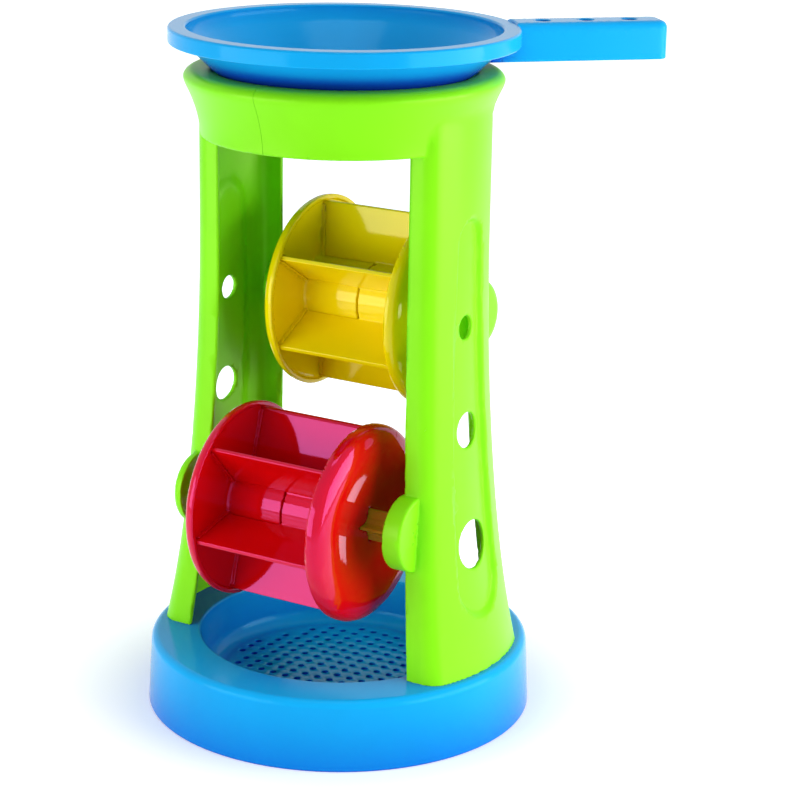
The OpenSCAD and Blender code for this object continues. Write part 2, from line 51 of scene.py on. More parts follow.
bl_info = {
    "name": "Sand Wheel Toy",
    "version": (1, 0, 0),
    "blender": (4, 5, 0),
    "location": "View3D > Sidebar > Sand Wheel",
    "description": "Dresses a sand wheel toy with smooth moulded plastic and puts it on a studio floor",
    "category": "Add Mesh",
}

AXLES = {"lower_wheel": (-0.0312, 0.1057), "upper_wheel": (0.0349, 0.1966)}

# Share of the outer flare that grows slowly, and the power of the collar's outward curve
SLOW_SHARE = 0.82
COLLAR_POWER = 1.8
# Fineness of turned pieces: sides, sides of a sieve hole, turn of one step on a rounding, and closest points
DISH_SIDES, PAN_SIDES, HOLE_SIDES, ARC_STEP, FLAT = 144, 144, 16, math.radians(12), 1e-7
# Edges sharper than this stay sharp on a turned piece
SHARP = math.radians(40)
# Fineness of mouldings: sampling steps, and how much flat skin may be thinned out
FINE, FINER, FINEST, ADAPTIVITY = 0.0009, 0.00075, 0.0006, 0.15
# Sampling of a field: layers at a time, steps kept on either side of the skin, and the step of its gradient
LAYERS, BAND_STEPS, NUDGE = 24, 3, 0.00002
# Settling onto a field: rounds, least square of its gradient, and longest move as a share of a step
ROUNDS, LEAST_SLOPE, LONGEST_MOVE = 4, 0.05, 0.4
# Fits and fastenings that stay out of sight
SEAT_CLEAR, JOURNAL_CLEAR = 0.00043, 0.00008
TAB, TAB_WIDTH, TAB_DROP = 0.0017, 0.010, 0.007
PEG, PEG_LENGTH, PEG_BLOCK, PEG_STEP = 0.002, 0.005, 0.008, 0.00288
# How far the columns reach into the deck, and a blade into the surfaces that hold its left-hand end
FOOT_SINK, BLADE_SINK = 0.0003, 0.0002
# Slope of the recess inside a column, as a multiple of the slope outside
INNER_SLOPE = 2.4
# Shares of a wheel's edge rounding at a blade's rim and at the hub's split, and a spigot's reach in hub walls
BLADE_EDGE, SPLIT_EDGE, SPIGOT_REACH = 0.6, 0.2, 2.5
BLADES, HANDLE_HOLES = 6, 3
# Each slot's material, colour, roughness, tint of its reflections, bump and index of refraction
FINISHES = {
    "blue_plastic": ("azure_blue_plastic", "blue", 0.16, (0.3, 0.85, 1.0), 0.02, 1.25),
    "green_plastic": ("lime_green_plastic", "green", 0.34, (1.0, 1.0, 0.35), 0.05, 1.38),
    "red_plastic": ("glossy_red_plastic", "red", 0.05, (1.0, 0.22, 0.85), 0.004, 1.58),
    "yellow_plastic": ("glossy_yellow_plastic", "yellow", 0.08, (1.0, 0.95, 0.5), 0.006, 1.45),
    "axle_plastic": ("axle_yellow_plastic", "axle", 0.3, (1.0, 1.0, 0.8), 0.05, 1.49),
}
# Flow marks: scale, the part of the noise that shows, and the darkest and lightest share of the colour
FLOW_SCALE, FLOW_RANGE, FLOW_SHARES = 14.0, (0.3, 0.7), (0.94, 1.04)
# Polish and skin: their scales, the spread of the roughness, and the depth of the skin's texture
POLISH_SCALE, POLISH_SHARES, SKIN_SCALE, SKIN_DEPTH = 60.0, (0.85, 1.15), 2600.0, 0.0001
# Painted shade: the blue turns darker where ambient occlusion finds the piece sheltered; how far round it
# looks, and between which open shares
SHELTER_REACH, SHELTER_SHARES = 0.07, (0.4, 0.72)
# Floor: radius, sides, roughness and shine, and its glow's distances from the middle, strengths and colour
FLOOR_RADIUS, FLOOR_SIDES, FLOOR_ROUGHNESS, FLOOR_SHINE = 6.0, 96, 0.7, 0.2
GLOW_REACH, GLOW, GLOW_COLOUR = (0.1, 0.2), (0.28, 0.98), (0.94, 0.98, 1.0, 1.0)
# Each lamp's azimuth from the front, distance, height, size and light per area, and where they all aim
LAMPS = {
    "softbox_left": (-26.0, 0.72, 0.24, (0.62, 0.36), 4.5),
    "softbox_right": (100.0, 0.78, 0.30, (0.85, 0.5), 5.0),
    "softbox_top": (20.0, 0.06, 1.25, (0.5, 0.5), 3.4),
}
LAMP_TARGET = (0.0, 0.0, 0.18)
# Strength and colour of the surround's light on the toy
FILL, FILL_COLOUR = 0.29, (0.92, 0.96, 1.0, 1.0)


def length(name, description, default, high=0.5):
    """A length property in metres."""
    return FloatProperty(name=name, description=description, default=default, min=0.0, max=high,
                         unit="LENGTH", precision=4)


def angle(name, description, degrees):
    """An angle property, from degrees."""
    return FloatProperty(name=name, description=description, default=math.radians(degrees), subtype="ANGLE")


def lengths(name, description, default):
    """A property of three lengths in metres."""
    return FloatVectorProperty(name=name, description=description, default=default, size=3,
                               unit="LENGTH", precision=4)


def colour(name, description, default):
    """A linear colour property."""
    return FloatVectorProperty(name=name, description=description, default=default, size=3,
                               min=0.0, max=1.0, subtype="COLOR")


class SandWheelColours(bpy.types.PropertyGroup):
    """Colours of the plastics, as linear values."""
    blue: colour("Blue", "Pan and dish", (0.006, 0.42, 0.90))
    # Painted shade: the darker blue that the pan and dish turn to where they are sheltered
    painted_shade_blue: colour("Painted shade blue", "Pan and dish where little light falls in", (0.003, 0.055, 0.62))
    green: colour("Green", "Columns and collar", (0.24, 0.86, 0.006))
    red: colour("Red", "Lower wheel", (0.68, 0.0015, 0.003))
    yellow: colour("Yellow", "Upper wheel", (1.0, 0.77, 0.001))
    axle: colour("Axle", "Fluted axles", (0.42, 0.30, 0.006))
    floor: colour("Floor", "Studio floor", (0.86, 0.87, 0.88))


class SandWheelDish(bpy.types.PropertyGroup):
    """Sizes of the sieve dish."""
    radius: length("Radius", "Radius where the dish stands", 0.095)
    top_radius: length("Top radius", "Radius of the skirt where its top edge starts to round", 0.0932)
    height: length("Height", "Height of the deck", 0.0347)
    wall: length("Wall", "Wall thickness", 0.0026)
    edge: length("Edge", "Rounding of the top outer edge", 0.004)
    mouth: length("Mouth", "Radius of the bowl at its mouth", 0.0693)
    foot: length("Foot", "Radius of the bowl at the foot of its wall", 0.066)
    fillet: length("Fillet", "Rounding between the bowl's wall and its floor", 0.008)
    lip: length("Lip", "Rounding of the bowl's mouth", 0.0013)
    sieve: length("Sieve", "Height of the sieve floor", 0.012)
    hole: length("Hole", "Diameter of a sieve hole", 0.0032)
    pitch: length("Pitch", "Distance between sieve holes", 0.0072)


class SandWheelFrame(bpy.types.PropertyGroup):
    """Sizes of the columns, the collar and the bearing cups."""
    radius: length("Radius", "Outer radius of the columns at the top", 0.07085)
    foot_radius: length("Foot radius", "Outer radius of the columns at the foot", 0.0882)
    flare: length("Flare", "Height at which the outer flare begins", 0.242)
    half_width: length("Half width", "Half the width of a column at the top", 0.0283)
    foot_half_width: length("Foot half width", "Half the width of a column at the foot", 0.0399)
    edge: length("Edge", "Distance from the middle to a column's inner edge at the top", 0.0531)
    foot_edge: length("Foot edge", "Distance from the middle to a column's inner edge at the foot", 0.0631)
    edge_flare: length("Edge flare", "Height at which the inner edge starts to flare", 0.214)
    wall: length("Wall", "Wall thickness", 0.0024)
    corner: length("Corner", "Rounding of the outer corners", 0.0058)
    rim: length("Rim", "Rounding of the edges", 0.0009)
    recess: length("Recess", "Depth of the long recess", 0.0028)
    recess_slope: length("Recess slope", "Width of the recess's sloping wall", 0.0034)
    recess_top: length("Recess top", "Radius of the recess's top arc", 0.0094)
    recess_foot: length("Recess foot", "Radius of the recess's bottom arc", 0.017)
    recess_top_height: length("Recess top height", "Height of the top arc's centre", 0.242)
    recess_foot_height: length("Recess foot height", "Height of the bottom arc's centre", 0.077)
    windows: lengths("Windows", "Diameters of the holes, top to bottom", (0.0114, 0.0171, 0.0234))
    window_heights: lengths("Window heights", "Heights of the holes, top to bottom", (0.2, 0.1502, 0.094))
    collar: length("Collar", "Height of the collar's lower edge", 0.284)
    collar_top: length("Collar top", "Height of the collar's flat top", 0.315)
    collar_foot: length("Collar foot", "Outer radius of the collar at its lower edge", 0.0675)
    collar_radius: length("Collar radius", "Outer radius of the collar at its shoulder", 0.0753)
    shoulder: length("Shoulder", "Rounding of the collar's shoulder", 0.005)
    crease: length("Crease", "Fillet between the columns and the collar", 0.0007)
    cup_crease: length("Cup crease", "Fillet between the columns and the cups", 0.0005)
    seam: length("Seam", "Gap between the halves", 0.0002)
    cup: length("Cup", "Radius of the bearing cups", 0.0182)
    cup_wall: length("Cup wall", "Wall thickness of the cups", 0.002)
    cup_round: FloatProperty(name="Cup rounding", description="Share of a cup's depth for its rounding",
                             default=0.65, min=0.1, max=0.9, subtype="FACTOR")
    sleeve: length("Sleeve", "Wall thickness of the sleeves in the cups", 0.0024)
    lower_cap: length("Lower cap", "Distance from the middle to the lower cups' closed ends", 0.065)
    upper_cap: length("Upper cap", "Distance from the middle to the upper cups' closed ends", 0.059)
    right_cup: length("Right cup", "Depth of the right-hand cups", 0.011)
    left_cup: length("Left cup", "Depth of the left-hand cups", 0.0052)
    left_reach: length("Left reach", "How far the left lower cup stands out past the right one", 0.0012)
    cup_trim: length("Cup trim", "How much the right-hand lower cup is cut short, and its rounding", 0.0012)


class SandWheelPan(bpy.types.PropertyGroup):
    """Sizes of the pan and its handle."""
    radius: length("Radius", "Outer radius of the rim", 0.0823)
    top: length("Top", "Height of the rim", 0.3346)
    skirt: length("Skirt", "Height of the skirt under the rim", 0.0075)
    ring: length("Ring", "Width of the flat ring", 0.0086)
    wall: length("Wall", "Wall thickness", 0.0024)
    seat: length("Seat", "Radius of the cone where it passes the collar's top", 0.0623)
    floor: length("Floor", "Height of the floor's underside", 0.286)
    collar_top: length("Collar top", "Height of the collar's top, where the seat radius is taken", 0.315)
    edge: length("Edge", "Rounding of the edges", 0.0007)
    throat_edge: length("Throat edge", "Rounding of the ring's inner edge", 0.0012)
    throat_round: length("Throat round", "Rounding between the cone and the ring", 0.010)
    floor_round: length("Floor round", "Rounding between the cone and the floor", 0.006)
    floor_radius: length("Floor radius", "Radius of the floor", 0.03)
    outlet: length("Outlet", "Radius of the outlet", 0.007)
    spout: length("Spout", "Length of the spout", 0.009)
    handle_turn: angle("Handle turn", "Direction of the handle", 44.5)
    reach: length("Reach", "Distance from the middle to the handle's end", 0.1557)
    width: length("Width", "Width of the handle", 0.02)
    height: length("Height", "Height of the handle", 0.0182)
    rise: length("Rise", "Height of the handle's top above the rim", 0.001)
    corner: length("Corner", "Rounding of the handle's end corners", 0.005)
    bevel: length("Bevel", "Rounding of the handle's top edges", 0.0036)
    hole: length("Hole", "Radius of the handle's holes", 0.0035)
    last_hole: length("Last hole", "Distance from the middle to the last hole", 0.1386)
    pitch: length("Pitch", "Distance between the holes", 0.0215)


class SandWheelWheels(bpy.types.PropertyGroup):
    """Sizes of the bucket wheels and their axles."""
    radius: length("Radius", "Outer radius of a wheel", 0.04775)
    flange: length("Flange", "Distance from the middle to a flange's inner face", 0.034)
    crown: length("Crown", "Distance from the middle to a flange's crown", 0.0383)
    lip: length("Lip", "Distance from the middle to the left-hand rim's lip", 0.0325)
    right_lip: length("Right lip", "Distance from the middle to the right-hand rim's lip", 0.0306)
    rim: length("Rim", "Thickness of the rim", 0.0025)
    rim_edge: length("Rim edge", "Rounding of the rim's outer edge", 0.004)
    right_crown: length("Right crown", "Distance from the middle to the right-hand flange's crown", 0.0396)
    upper_drop: length("Upper drop", "How much lower the upper wheel's right-hand crown is", 0.0014)
    right_edge: length("Right edge", "Rounding of the right-hand rim's outer edge", 0.003)
    dish: length("Dish", "Distance from the middle to the face round the axle", 0.0365)
    peak: length("Peak", "Radius of the crown", 0.037)
    fall: length("Fall", "How far the right-hand flange falls from its crown to its edge", 0.0034)
    dish_floor: length("Dish floor", "Radius of the flat face round the axle", 0.017)
    hub: length("Hub", "Radius of the hub", 0.0175)
    hub_wall: length("Hub wall", "Wall thickness of the hub", 0.0024)
    fillet: length("Fillet", "Rounding between the hub and a flange", 0.002)
    boss: length("Boss", "Depth of the boss round the axle", 0.0147)
    split: FloatProperty(name="Split", description="Place of the split between the halves", default=-0.0028,
                         unit="LENGTH", precision=4)
    gap: length("Gap", "Width of the gap at the split", 0.0009)
    blade: length("Blade", "Thickness of a blade", 0.0022)
    guide: length("Guide", "Thickness of the guide ribs", 0.001)
    guide_height: length("Guide height", "Height of the guide ribs", 0.00195)
    edge: length("Edge", "Rounding of the edges", 0.0006)
    flute_edge: length("Flute edge", "Rounding of the axle's ridges", 0.0006)
    clear: length("Clear", "Clearance of the axle", 0.00015)
    lower_turn: angle("Lower turn", "Turn of the lower wheel's first blade", 13.0)
    upper_turn: angle("Upper turn", "Turn of the upper wheel's first blade", 28.5)
    axle: length("Axle", "Radius of an axle's ridges", 0.0078)
    flute: length("Flute", "Radius of the flutes", 0.0058)
    flute_reach: length("Flute reach", "Distance from the axle's middle to a flute's", 0.0093)
    journal: length("Journal", "Radius of the journals", 0.004)
    journal_length: length("Journal length", "Length of a journal", 0.0065)
    float: length("Float", "End float of an axle", 0.0005)


class SandWheelView(bpy.types.PropertyGroup):
    """Where the camera stands and where it looks."""
    reach: length("Reach", "Distance from the toy's axis to the camera, along the floor", 1.1222, 5.0)
    height: length("Height", "Height of the camera", 0.4933, 5.0)
    azimuth: angle("Azimuth", "Turn of the camera round the toy from the front", 32.468)
    pitch: angle("Pitch", "Tilt of the camera below the horizon", 16.852)
    yaw: angle("Yaw", "Turn of the camera away from the toy's axis", -1.454)
    roll: angle("Roll", "Turn of the camera about its own line of sight", 0.977)
    lens: FloatProperty(name="Lens", description="Focal length in millimetres on a 36 mm sensor",
                        default=108.54, min=20.0, max=300.0)


# Materials


def add(tree, kind, **settings):
    """Adds a node to a node tree and sets its properties and the defaults of its inputs."""
    node = tree.nodes.new(kind)
    for name, value in settings.items():
        if hasattr(node, name):
            setattr(node, name, value)
        else:
            node.inputs[name.replace("_", " ")].default_value = value
    return node


def white_rays(tree):
    """Output that is 1 for rays that the camera, a reflection or a clear piece sees by."""
    link = tree.links.new
    path = add(tree, "ShaderNodeLightPath")
    seen = path.outputs["Is Camera Ray"]
    for kind in ("Is Glossy Ray", "Is Transmission Ray"):
        either = add(tree, "ShaderNodeMath", operation="MAXIMUM")
        link(seen, either.inputs[0])
        link(path.outputs[kind], either.inputs[1])
        seen = either.outputs[0]
    return seen


def add_painted_shade(tree, colour, painted_shade_colour):
    """A colour with painted shade: it turns to a darker one where ambient occlusion finds the piece
    sheltered.
    """
    link = tree.links.new
    shelter = add(tree, "ShaderNodeAmbientOcclusion", samples=6, Distance=SHELTER_REACH)
    low, high = SHELTER_SHARES
    opening = add(tree, "ShaderNodeMapRange", From_Min=low, From_Max=high)
    link(shelter.outputs["AO"], opening.inputs["Value"])
    mix = add(tree, "ShaderNodeMix", data_type="RGBA")
    factor, first, second = (next(item for item in mix.inputs if item.identifier == name)
                             for name in ("Factor_Float", "A_Color", "B_Color"))
    link(opening.outputs["Result"], factor)
    # The painted shade colour, used where the piece is sheltered
    first.default_value = (*painted_shade_colour, 1.0)
    link(colour, second)
    return next(item for item in mix.outputs if item.identifier == "Result_Color")


def moulded_plastic(slot):
    """A slot's plastic, made once: faint flow marks, uneven polish and a fine skin texture.

    The blue gets painted shade: it turns to a darker blue where the piece is sheltered.
    """
    name, kind, roughness, reflection, bump, ior = FINISHES[slot]
    if name in bpy.data.materials:
        return bpy.data.materials[name]
    colours = bpy.context.scene.sand_wheel_colours
    base = getattr(colours, kind)
    material = bpy.data.materials.new(name)
    material.use_nodes = True
    material.diffuse_color = (*base, 1.0)
    tree = material.node_tree
    link = tree.links.new
    shader = tree.nodes["Principled BSDF"]
    place = add(tree, "ShaderNodeTexCoord").outputs["Object"]
    flow = add(tree, "ShaderNodeTexNoise", Scale=FLOW_SCALE, Detail=3.0, Distortion=0.6)
    polish = add(tree, "ShaderNodeTexNoise", Scale=POLISH_SCALE, Detail=4.0)
    skin = add(tree, "ShaderNodeTexNoise", Scale=SKIN_SCALE, Detail=2.0)
    for noise in (flow, polish, skin):
        link(place, noise.inputs["Vector"])
    tone = add(tree, "ShaderNodeValToRGB")
    for stop, position, share in zip(tone.color_ramp.elements, FLOW_RANGE, FLOW_SHARES):
        stop.position = position
        stop.color = (*[min(1.0, value * share) for value in base], 1.0)
    link(flow.outputs["Fac"], tone.inputs["Fac"])
    colour = tone.outputs["Color"]
    # Painted shade: the blue pieces turn darker where they are sheltered
    if kind == "blue":
        colour = add_painted_shade(tree, colour, colours.painted_shade_blue)
    link(colour, shader.inputs["Base Color"])
    low, high = (roughness * share for share in POLISH_SHARES)
    spread = add(tree, "ShaderNodeMapRange", To_Min=low, To_Max=high)
    link(polish.outputs["Fac"], spread.inputs["Value"])
    link(spread.outputs["Result"], shader.inputs["Roughness"])
    relief = add(tree, "ShaderNodeBump", Strength=bump, Distance=SKIN_DEPTH)
    link(skin.outputs["Fac"], relief.inputs["Height"])
    link(relief.outputs["Normal"], shader.inputs["Normal"])
    shader.inputs["IOR"].default_value = ior
    shader.inputs["Specular Tint"].default_value = (*reflection, 1.0)
    return material


def put(name, data):
    """Puts a new object in the scene."""
    obj = bpy.data.objects.new(name, data)
    bpy.context.scene.collection.objects.link(obj)
    return obj


def paint(obj, material):
    """Gives an object one material."""
    obj.data.materials.clear()
    obj.data.materials.append(material)


# Solids as distance fields


def meet(a, b, radius=0.0):
    """What lies in both fields, with the edge between them rounded."""
    if radius <= 0.0:
        return np.maximum(a, b)
    corner = np.hypot(np.maximum(a + radius, 0.0), np.maximum(b + radius, 0.0))
    return np.minimum(np.maximum(a, b), -radius) + corner


def join(a, b, radius=0.0):
    """What lies in either field, with a fillet between them."""
    return -meet(-a, -b, radius)


def cut(a, b, radius=0.0):
    """The first field less the second, with a rounded edge."""
    return meet(a, -b, radius)


def block(x, y, z, low, high, radius=0.0):
    """A box between two corners."""
    sides = [meet(a - v, v - b, radius) for v, a, b in zip((x, y, z), low, high)]
    return meet(meet(sides[0], sides[1], radius), sides[2], radius)


def ease(t):
    """Smooth rise from 0 to 1."""
    t = np.clip(t, 0.0, 1.0)
    return t * t * (3.0 - 2.0 * t)


def slope_of(field, points):
    """The field's value and gradient at points."""
    x, y, z = points.T
    gradient = np.stack([
        field(x + NUDGE, y, z) - field(x - NUDGE, y, z),
        field(x, y + NUDGE, z) - field(x, y - NUDGE, z),
        field(x, y, z + NUDGE) - field(x, y, z - NUDGE)], axis=1) / (2 * NUDGE)
    return field(x, y, z), gradient


def moulding(name, field, low, high, step, seam):
    """A piece whose skin is where its field is zero, in metres, with its normals from the field.

    A seam is a place along X and the side that is kept: the skin is cut and closed there.
    """
    band = BAND_STEPS * step
    axes = [np.arange(a - band, b + band, step, dtype=np.float32) for a, b in zip(low, high)]
    values = np.empty([len(axis) for axis in axes], dtype=np.float32)
    x, y = axes[0][:, None, None], axes[1][None, :, None]
    for start in range(0, len(axes[2]), LAYERS):
        z = axes[2][None, None, start:start + LAYERS]
        values[:, :, start:start + LAYERS] = field(x, y, z)
    grid = openvdb.FloatGrid(band)
    grid.copyFromArray(np.clip(values, -band, band))
    points, triangles, quads = grid.convertToPolygons(isovalue=0.0, adaptivity=ADAPTIVITY)
    points = points.astype(np.float64) * step + [axis[0] for axis in axes]
    for _ in range(ROUNDS):
        value, gradient = slope_of(field, points)
        square = np.maximum((gradient ** 2).sum(1), LEAST_SLOPE)
        move = -gradient * (value / square)[:, None]
        reach = np.linalg.norm(move, axis=1, keepdims=True)
        points += move * np.minimum(1.0, LONGEST_MOVE * step / np.maximum(reach, 1e-12))
    mesh = bpy.data.meshes.new(name)
    mesh.from_pydata(points.tolist(), [], triangles.tolist() + quads.tolist())
    if seam is not None:
        cut_at_seam(mesh, *seam)
    mesh.polygons.foreach_set("use_smooth", [True] * len(mesh.polygons))
    smooth_by_field(mesh, field, seam)
    return put(name, mesh)


def cut_at_seam(mesh, place, keep):
    """Cuts a mesh square to X, keeps the side that keep points to, and closes the cut with faces."""
    work = bmesh.new()
    work.from_mesh(mesh)
    every = work.verts[:] + work.edges[:] + work.faces[:]
    made = bmesh.ops.bisect_plane(work, geom=every, plane_co=(place, 0, 0), plane_no=(-keep, 0, 0),
                                  clear_outer=True, dist=1e-7)
    rim = [item for item in made["geom_cut"] if isinstance(item, bmesh.types.BMEdge) and item.is_boundary]
    bmesh.ops.triangle_fill(work, edges=rim, use_beauty=True, normal=(-keep, 0, 0))
    work.to_mesh(mesh)
    work.free()


def smooth_by_field(mesh, field, seam):
    """Gives every corner of a mesh the field's own normal, and a flat one where a seam was closed."""
    places = np.zeros(len(mesh.vertices) * 3)
    mesh.vertices.foreach_get("co", places)
    places = places.reshape(-1, 3)
    slope = slope_of(field, places)[1]
    slope /= np.maximum(np.linalg.norm(slope, axis=1, keepdims=True), 1e-9)
    corner = np.zeros(len(mesh.loops), dtype=np.int64)
    mesh.loops.foreach_get("vertex_index", corner)
    normals = slope[corner]
    if seam is not None:
        closing = np.abs(places[:, 0] - seam[0]) < 1e-6
        for face in mesh.polygons:
            if closing[list(face.vertices)].all():
                normals[face.loop_start:face.loop_start + face.loop_total] = (-seam[1], 0.0, 0.0)
    mesh.normals_split_custom_set(normals.tolist())


def rounded(corners):
    """Points and normals along a chain with rounded corners, with the outside on its left.

    Each corner is its two places and its rounding. A first or last corner that is rounded closes the chain.
    """
    chain = []
    for number, (across, up, size) in enumerate(corners):
        here = Vector((across, up))
        before, after = Vector(corners[number - 1][:2]), Vector(corners[(number + 1) % len(corners)][:2])
        if size == 0.0:
            way = (after - here if number == 0 else here - before).normalized()
            chain.append((here, Vector((-way.y, way.x))))
            continue
        back, ahead = (before - here).normalized(), (after - here).normalized()
        angle = back.angle(ahead)
        centre = here + (back + ahead).normalized() * size / math.sin(angle / 2)
        start, end = back * size / math.tan(angle / 2), ahead * size / math.tan(angle / 2)
        start, end = here + start - centre, here + end - centre
        first, last = math.atan2(start.y, start.x), math.atan2(end.y, end.x)
        sweep = (last - first + math.pi) % (2 * math.pi) - math.pi
        steps = max(2, round(abs(sweep) / ARC_STEP))
        for step in range(steps + 1):
            turn = first + sweep * step / steps
            out = Vector((math.cos(turn), math.sin(turn)))
            chain.append((centre + size * out, out if sweep < 0.0 else -out))
    return chain


def turned_normals(mesh, chain, sides):
    """Gives a mesh that starts with the rings of a turned chain the chain's own normals."""
    corner = np.zeros(len(mesh.loops), dtype=np.int64)
    mesh.loops.foreach_get("vertex_index", corner)
    normals = np.array([tuple(item.vector) for item in mesh.corner_normals])
    exact = np.array([(out.x * a, out.x * b, out.y) for _, out in chain for a, b in circle(1.0, sides)])
    ours = corner < len(exact)
    normals[ours] = exact[corner[ours]]
    mesh.normals_split_custom_set(normals.tolist())


def circle(radius, sides, x=0.0, y=0.0):
    """Points round a circle."""
    turns = [2 * math.pi * number / sides for number in range(sides)]
    return [(x + radius * math.cos(turn), y + radius * math.sin(turn)) for turn in turns]


def band(first, second, sides):
    """Faces between two rings of points."""
    pairs = [(side, (side + 1) % sides) for side in range(sides)]
    return [(first + side, first + after, second + after, second + side) for side, after in pairs]


def sieve_centres(g):
    """Centres of the sieve holes on a square grid."""
    edge = g.foot - g.fillet - g.hole
    rows = math.ceil(edge / g.pitch)
    places = [((column + 0.5) * g.pitch, row * g.pitch)
              for row in range(-rows, rows + 1) for column in range(-rows, rows + 1)]
    return [place for place in places if math.hypot(*place) < edge]


def dish_mesh(g):
    """Vertices, faces and profile of the dish: a turned skirt, deck and bowl, and a sieve floor."""
    sieve_r = g.foot - g.fillet - g.hole / 4
    under = g.sieve - g.wall
    bowl_foot = g.foot - g.fillet / 7
    edge = g.wall / 4
    profile = rounded([
        (sieve_r, g.sieve, 0.0), (bowl_foot, g.sieve, g.fillet), (g.mouth, g.height, g.lip),
        (g.top_radius, g.height, g.edge), (g.radius, 0.0, edge), (g.radius - g.wall, 0.0, edge),
        (g.top_radius - g.wall, g.height - g.wall, g.edge - g.wall / 2),
        (g.mouth + g.wall, g.height - g.wall, g.lip), (bowl_foot + g.wall, under, g.fillet + g.wall),
        (sieve_r, under, 0.0)])
    points = [(x, y, place.y) for place, _ in profile for x, y in circle(place.x, DISH_SIDES)]
    faces = []
    for ring in range(len(profile) - 1):
        faces += band(ring * DISH_SIDES, (ring + 1) * DISH_SIDES, DISH_SIDES)
    chamfer = g.hole / 9
    depths = [(g.sieve, chamfer), (g.sieve - chamfer / 3, chamfer / 3), (g.sieve - chamfer, 0.0),
              (under + chamfer, 0.0), (under, chamfer)]
    centres = sieve_centres(g)
    start = len(points)
    for x, y in centres:
        for z, grow in depths:
            points.extend((a, b, z) for a, b in circle(g.hole / 2 + grow, HOLE_SIDES, x, y))
    per_hole = len(depths) * HOLE_SIDES
    for number in range(len(centres)):
        for ring in range(len(depths) - 1):
            lower = start + number * per_hole + ring * HOLE_SIDES
            faces += band(lower + HOLE_SIDES, lower, HOLE_SIDES)
    for rim, ring, flip in ((0, 0, False), (len(profile) - 1, len(depths) - 1, True)):
        loop = list(range(rim * DISH_SIDES, (rim + 1) * DISH_SIDES))
        loops = [[start + number * per_hole + ring * HOLE_SIDES + side for side in range(HOLE_SIDES)]
                 for number in range(len(centres))]
        names = loop + [name for hole in loops for name in hole]
        flat = [Vector(points[name][:2]) for name in names]
        edges = [(side, (side + 1) % DISH_SIDES) for side in range(DISH_SIDES)]
        for number in range(len(centres)):
            base = DISH_SIDES + number * HOLE_SIDES
            edges += [(base + side, base + (side + 1) % HOLE_SIDES) for side in range(HOLE_SIDES)]
        _, _, triangles, origins, _, _ = delaunay_2d_cdt(flat, edges, [], 0, FLAT)
        for triangle in triangles:
            corners = [names[origins[number][0]] for number in triangle]
            owners = {(name - start) // per_hole if name >= start else -1 for name in corners}
            if len(owners) > 1 or -1 in owners:
                faces.append(tuple(reversed(corners)) if flip else tuple(corners))
    return points, faces, profile


def flare(z, top, foot, start, deck, slow=1.0):
    """A size that grows below a height, down to the deck."""
    t = np.maximum(0.0, start - z) / (start - deck)
    return top + (foot - top) * (slow * t ** 2 + (1.0 - slow) * t ** 6)


def recess_reach(g, y, z):
    """Distance from the outline of a column's long recess, two arcs and their tangents."""
    across, up = np.abs(y), z - g.recess_foot_height
    tall = g.recess_top_height - g.recess_foot_height
    lean = (g.recess_foot - g.recess_top) / tall
    stand = math.sqrt(1.0 - lean * lean)
    along = up * stand - across * lean
    foot = np.hypot(across, up) - g.recess_foot
    top = np.hypot(across, up - tall) - g.recess_top
    flank = across * stand + up * lean - g.recess_foot
    return np.where(along < 0.0, foot, np.where(along > stand * tall, top, flank))


def column_field(g, deck, x, y, z):
    """One column: a channel with a recess and three windows."""
    r = np.hypot(x, y)
    skin = r - flare(z, g.radius, g.foot_radius, g.flare, deck, SLOW_SHARE)
    side = np.abs(y) - flare(z, g.half_width, g.foot_half_width, g.flare, deck)
    edge = flare(z, g.edge, g.foot_edge, g.edge_flare, deck) - x
    reach = recess_reach(g, y, z)
    dent = g.recess * ease(0.5 - reach / g.recess_slope)
    inner_dent = g.recess * ease(0.5 - (reach - g.wall) / (INNER_SLOPE * g.recess_slope))
    outer = meet(skin + dent, side, g.corner)
    inner = meet(skin + inner_dent + g.wall, side + g.wall, g.corner - g.wall)
    body = cut(meet(outer, edge, g.rim), inner, g.rim)
    body = meet(body, deck - FOOT_SINK - z)
    body = meet(body, z - g.collar_top + g.shoulder + 2 * g.wall)
    for size, height in zip(g.windows, g.window_heights):
        body = cut(body, np.hypot(y, z - height) - size / 2, g.rim)
    return body


def collar_field(g, pan, x, y, z):
    """The collar: a flared wall, a round shoulder and a flat top with a conical seat."""
    r = np.hypot(x, y)
    rise = np.maximum(z - g.collar, 0.0) / (g.collar_top - g.shoulder - g.collar)
    wall = r - g.collar_foot - (g.collar_radius - g.collar_foot) * rise ** COLLAR_POWER
    wall = meet(wall, r - g.collar_radius - g.seam, g.shoulder / 4)
    top = z - g.collar_top
    outer = meet(meet(wall, top, g.shoulder), g.collar - z, g.rim)
    inner = meet(wall + g.wall, top + g.wall, g.shoulder - g.wall)
    run = cone_run(pan)
    seat = (r - pan.seat - SEAT_CLEAR - (z - g.collar_top) * run) / math.hypot(1.0, run)
    return cut(cut(outer, inner, g.rim), seat, g.rim)


def tabs_field(g, deck, x, y, z):
    """The three tabs under a column that plug into the deck."""
    low, high = deck - TAB_DROP, deck + g.wall / 2

    def tab(mid_x, mid_y, size_x, size_y):
        return block(x, np.abs(y), z, (mid_x - size_x / 2, mid_y - size_y / 2, low),
                     (mid_x + size_x / 2, mid_y + size_y / 2, high))

    skin = tab(g.foot_radius - g.wall + TAB / 2, 0.0, TAB, TAB_WIDTH)
    side = tab(g.foot_edge + (TAB_WIDTH + g.wall) / 2, g.foot_half_width - g.wall / 2, TAB_WIDTH, TAB)
    return join(skin, side)


def peg_centre(g):
    """Distance of a peg from the middle of the seam, and its height."""
    return g.collar_foot - g.wall - PEG_BLOCK / 2 + PEG_STEP, g.collar + PEG_BLOCK


